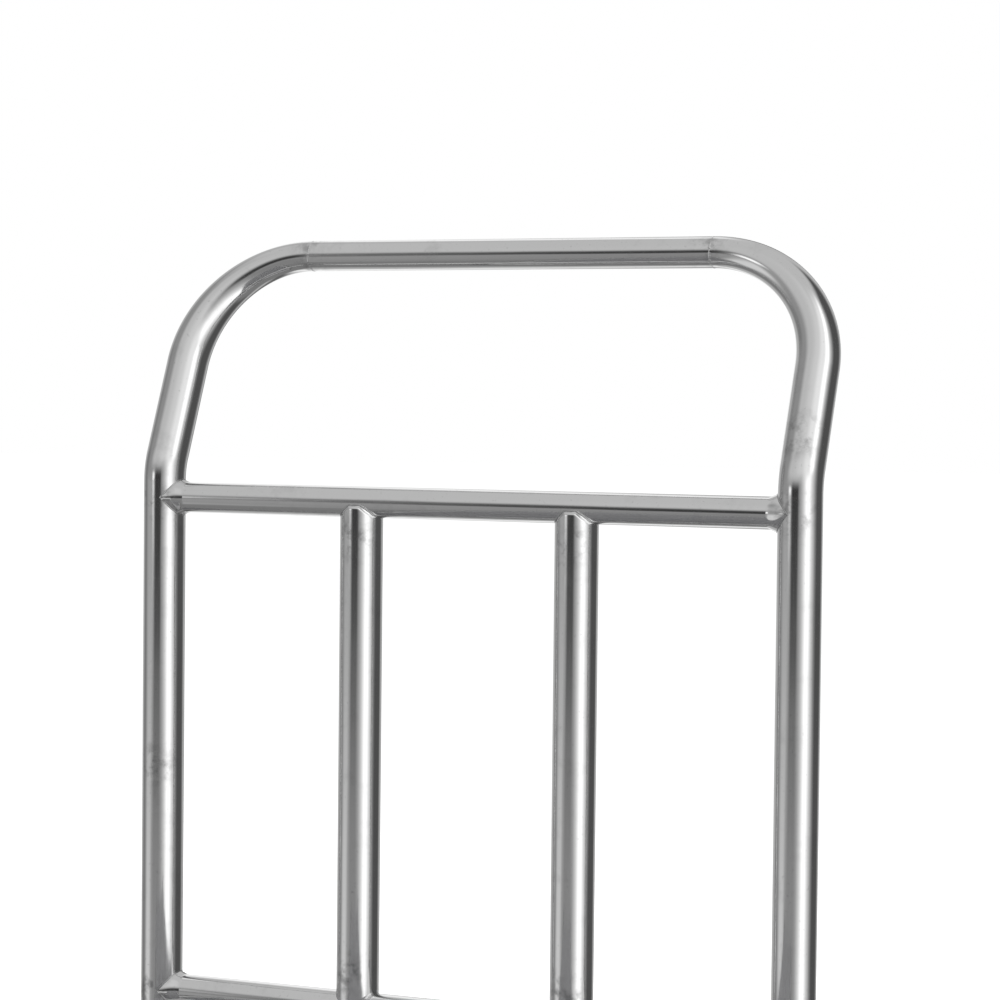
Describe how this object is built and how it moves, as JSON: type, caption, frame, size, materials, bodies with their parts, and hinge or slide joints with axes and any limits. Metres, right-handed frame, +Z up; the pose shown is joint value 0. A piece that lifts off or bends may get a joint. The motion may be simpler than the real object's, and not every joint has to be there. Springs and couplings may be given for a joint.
{
  "type": "hotel luggage cart",
  "caption": "Platform luggage cart: carpeted flat deck on braked swivel and fixed casters, pushed by a welded polished tube frame with a leaning hoop handle.",
  "frame": {"origin": "on the floor, under the middle of the cart's bounding box", "axes": "+X across the cart to the pusher's left when facing the deck, +Y along the cart from the open end towards the push frame, +Z up"},
  "size_m": [0.691, 1.0564, 0.9622],
  "materials": {
    "frame_steel": "polished stainless tube, faintly brushed, with polished welds",
    "trim_steel": "brushed stainless sheet",
    "zinc_steel": "bright zinc plated",
    "chassis_paint": "satin black powder coat",
    "plywood": "varnished plywood",
    "carpet": "short cut pile, dark grey",
    "bumper_rubber": "matte black moulded rubber",
    "tyre_rubber": "grey non-marking rubber",
    "wheel_core": "moulded light grey nylon",
    "pedal_paint": "red gloss paint, worn on the tread"
  },
  "bodies": {
    "chassis": {"post_left": "frame_steel", "post_right": "frame_steel", "elbow_left": "frame_steel", "elbow_right": "frame_steel", "grip_bar": "frame_steel", "upper_rail": "frame_steel", "lower_rail": "frame_steel", "inner_bar_left": "frame_steel", "inner_bar_right": "frame_steel", "post_collars": "frame_steel", "rear_deck_plate": "trim_steel", "trim_left": "trim_steel", "trim_right": "trim_steel", "trim_front": "trim_steel", "trim_rear": "trim_steel", "bumper_left": "bumper_rubber", "bumper_right": "bumper_rubber", "bumper_front": "bumper_rubber", "bumper_rear": "bumper_rubber", "corner_bumpers": "bumper_rubber", "post_end_plugs": "bumper_rubber", "side_rail_left": "chassis_paint", "side_rail_right": "chassis_paint", "front_rail": "chassis_paint", "rear_rail": "chassis_paint", "cross_member_front": "chassis_paint", "cross_member_middle": "chassis_paint", "cross_member_rear": "chassis_paint", "caster_pads": "chassis_paint", "post_bolts": "zinc_steel", "deck_screws": "zinc_steel", "caster_fasteners": "zinc_steel", "swivel_top_plates": "zinc_steel", "kingpins": "zinc_steel", "deck_board": "plywood", "deck_carpet": "carpet", "front_left_bracket": "zinc_steel", "front_left_axle": "zinc_steel", "front_right_bracket": "zinc_steel", "front_right_axle": "zinc_steel"},
    "rear_left_swivel": {"rear_left_balls": "zinc_steel", "rear_left_fork": "zinc_steel", "rear_left_axle": "zinc_steel"},
    "rear_left_wheel": {"rear_left_core": "wheel_core", "rear_left_tyre": "tyre_rubber", "rear_left_bearings": "zinc_steel"},
    "rear_left_brake": {"rear_left_pedal": "pedal_paint"},
    "rear_right_swivel": {"rear_right_balls": "zinc_steel", "rear_right_fork": "zinc_steel", "rear_right_axle": "zinc_steel"},
    "rear_right_wheel": {"rear_right_core": "wheel_core", "rear_right_tyre": "tyre_rubber", "rear_right_bearings": "zinc_steel"},
    "rear_right_brake": {"rear_right_pedal": "pedal_paint"},
    "front_left_wheel": {"front_left_core": "wheel_core", "front_left_tyre": "tyre_rubber", "front_left_bearings": "zinc_steel"},
    "front_right_wheel": {"front_right_core": "wheel_core", "front_right_tyre": "tyre_rubber", "front_right_bearings": "zinc_steel"}
  },
  "joints": [
    {"name": "rear_left_swivel_turn", "type": "hinge", "parent": "chassis", "child": "rear_left_swivel", "pos_m": [-0.228, 0.3543, 0.187], "axis": [0, 0, 1], "continuous": true},
    {"name": "rear_left_wheel_spin", "type": "hinge", "parent": "rear_left_swivel", "child": "rear_left_wheel", "pos_m": [-0.228, 0.3963, 0.075], "axis": [1, 0, 0], "continuous": true},
    {"name": "rear_left_brake_press", "type": "hinge", "parent": "rear_left_swivel", "child": "rear_left_brake", "pos_m": [-0.228, 0.4083, 0.158], "axis": [-1, 0, 0], "range_deg": [0, 14]},
    {"name": "rear_right_swivel_turn", "type": "hinge", "parent": "chassis", "child": "rear_right_swivel", "pos_m": [0.228, 0.3543, 0.187], "axis": [0, 0, 1], "continuous": true},
    {"name": "rear_right_wheel_spin", "type": "hinge", "parent": "rear_right_swivel", "child": "rear_right_wheel", "pos_m": [0.228, 0.3963, 0.075], "axis": [1, 0, 0], "continuous": true},
    {"name": "rear_right_brake_press", "type": "hinge", "parent": "rear_right_swivel", "child": "rear_right_brake", "pos_m": [0.228, 0.4083, 0.158], "axis": [-1, 0, 0], "range_deg": [0, 14]},
    {"name": "front_left_wheel_spin", "type": "hinge", "parent": "chassis", "child": "front_left_wheel", "pos_m": [-0.228, -0.4007, 0.075], "axis": [1, 0, 0], "continuous": true},
    {"name": "front_right_wheel_spin", "type": "hinge", "parent": "chassis", "child": "front_right_wheel", "pos_m": [0.228, -0.4007, 0.075], "axis": [1, 0, 0], "continuous": true}
  ]
}
